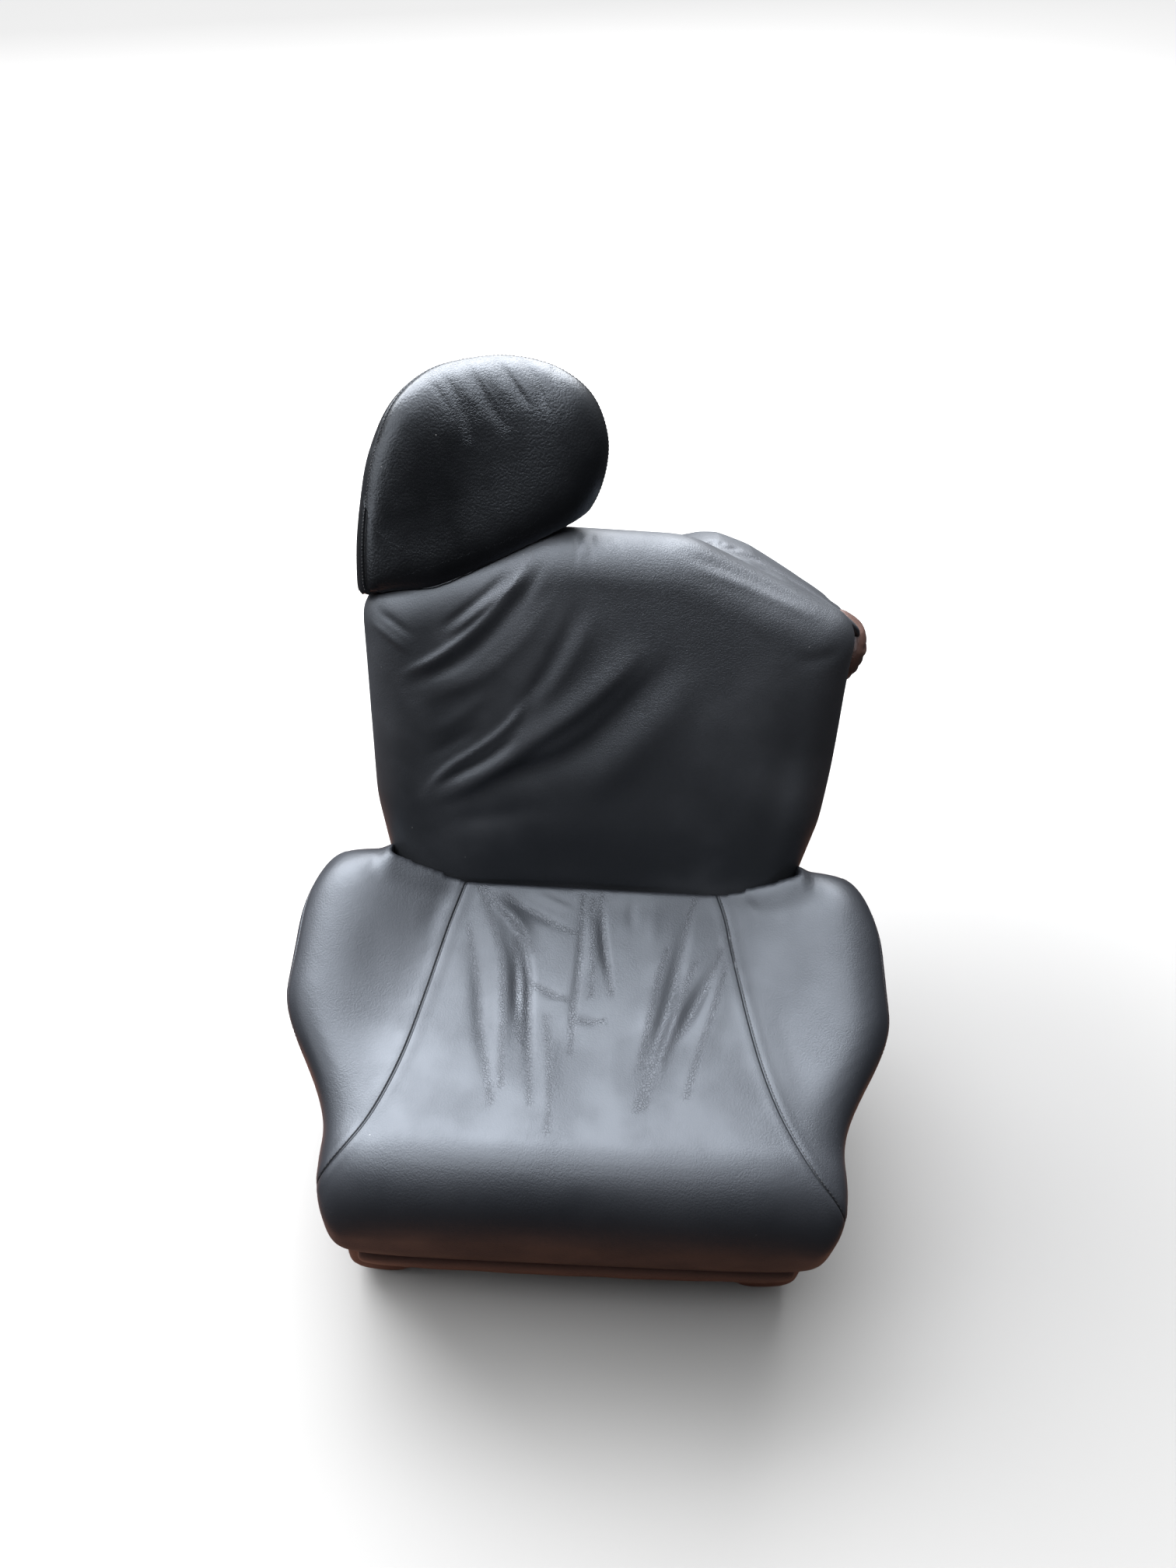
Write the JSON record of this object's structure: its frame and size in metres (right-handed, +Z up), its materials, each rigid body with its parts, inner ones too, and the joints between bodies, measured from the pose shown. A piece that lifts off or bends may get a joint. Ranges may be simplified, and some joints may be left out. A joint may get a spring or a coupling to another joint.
{
  "type": "armless recliner",
  "caption": "Low armless lounge recliner in black leather with a bolstered seat, a gabled back with two folding ears and a footrest folded under the seat.",
  "frame": {"origin": "on the floor below the middle of the bounding box", "axes": "+Z up, -Y the way the sitter faces, +X to the right of a viewer who faces the chair"},
  "size_m": [0.8534, 0.8775, 1.0176],
  "materials": {
    "leather": "satin",
    "frame_steel": "satin",
    "plate_steel": "satin",
    "webbing": "matte",
    "bottom_cloth": "matte",
    "knob_plastic": "matte",
    "glide_rubber": "matte"
  },
  "bodies": {
    "seat": {"seat_frame": "frame_steel", "left_side_plate": "plate_steel", "right_side_plate": "plate_steel", "left_recliner_housing": "plate_steel", "right_recliner_housing": "plate_steel", "side_plate_bolts": "plate_steel", "seat_webbing": "webbing", "seat_cushion": "leather", "seat_bottom_cover": "bottom_cloth", "left_fold_leaf": "plate_steel", "right_fold_leaf": "plate_steel", "left_fold_pin": "plate_steel", "right_fold_pin": "plate_steel"},
    "back": {"back_frame": "frame_steel", "left_back_arm": "plate_steel", "right_back_arm": "plate_steel", "left_recliner_hub": "plate_steel", "right_recliner_hub": "plate_steel", "back_webbing": "webbing", "back_cushion": "leather", "left_ear_bracket": "plate_steel", "right_ear_bracket": "plate_steel", "left_click_spring": "plate_steel", "right_click_spring": "plate_steel", "left_ear_pin": "plate_steel", "right_ear_pin": "plate_steel"},
    "left_ear": {"left_ear_frame": "frame_steel", "left_ear_leaf": "plate_steel", "left_click_wheel": "plate_steel", "left_ear_cushion": "leather"},
    "right_ear": {"right_ear_frame": "frame_steel", "right_ear_leaf": "plate_steel", "right_click_wheel": "plate_steel", "right_ear_cushion": "leather"},
    "adjuster": {"cross_shaft": "plate_steel", "left_knob": "knob_plastic", "right_knob": "knob_plastic", "knob_screws": "plate_steel"},
    "footrest": {"footrest_frame": "frame_steel", "left_rest_leaf": "plate_steel", "right_rest_leaf": "plate_steel", "footrest_webbing": "webbing", "footrest_cushion": "leather", "footrest_glides": "glide_rubber"}
  },
  "joints": [
    {"name": "back_recline", "type": "hinge", "parent": "seat", "child": "back", "pos_m": [0, 0.0655, 0.23], "axis": [-1, 0, 0], "range_deg": [0, 60]},
    {"name": "adjuster_turn", "type": "hinge", "parent": "seat", "child": "adjuster", "pos_m": [0, 0.0655, 0.23], "axis": [-1, 0, 0], "range_deg": [0, 720]},
    {"name": "left_ear_fold", "type": "hinge", "parent": "back", "child": "left_ear", "pos_m": [-0.20908, 0.33442, 0.72709], "axis": [-0.9265, -0.1373, -0.3504], "range_deg": [0, 120]},
    {"name": "right_ear_fold", "type": "hinge", "parent": "back", "child": "right_ear", "pos_m": [0.20908, 0.33442, 0.72709], "axis": [0.9265, -0.1373, -0.3504], "range_deg": [0, 176]},
    {"name": "footrest_fold", "type": "hinge", "parent": "seat", "child": "footrest", "pos_m": [0, -0.4245, 0.15025], "axis": [-1, 0, 0], "range_deg": [0, 180]}
  ],
  "couplings": [
    {"joint": "adjuster_turn", "follows": "back_recline", "ratio": 12}
  ]
}
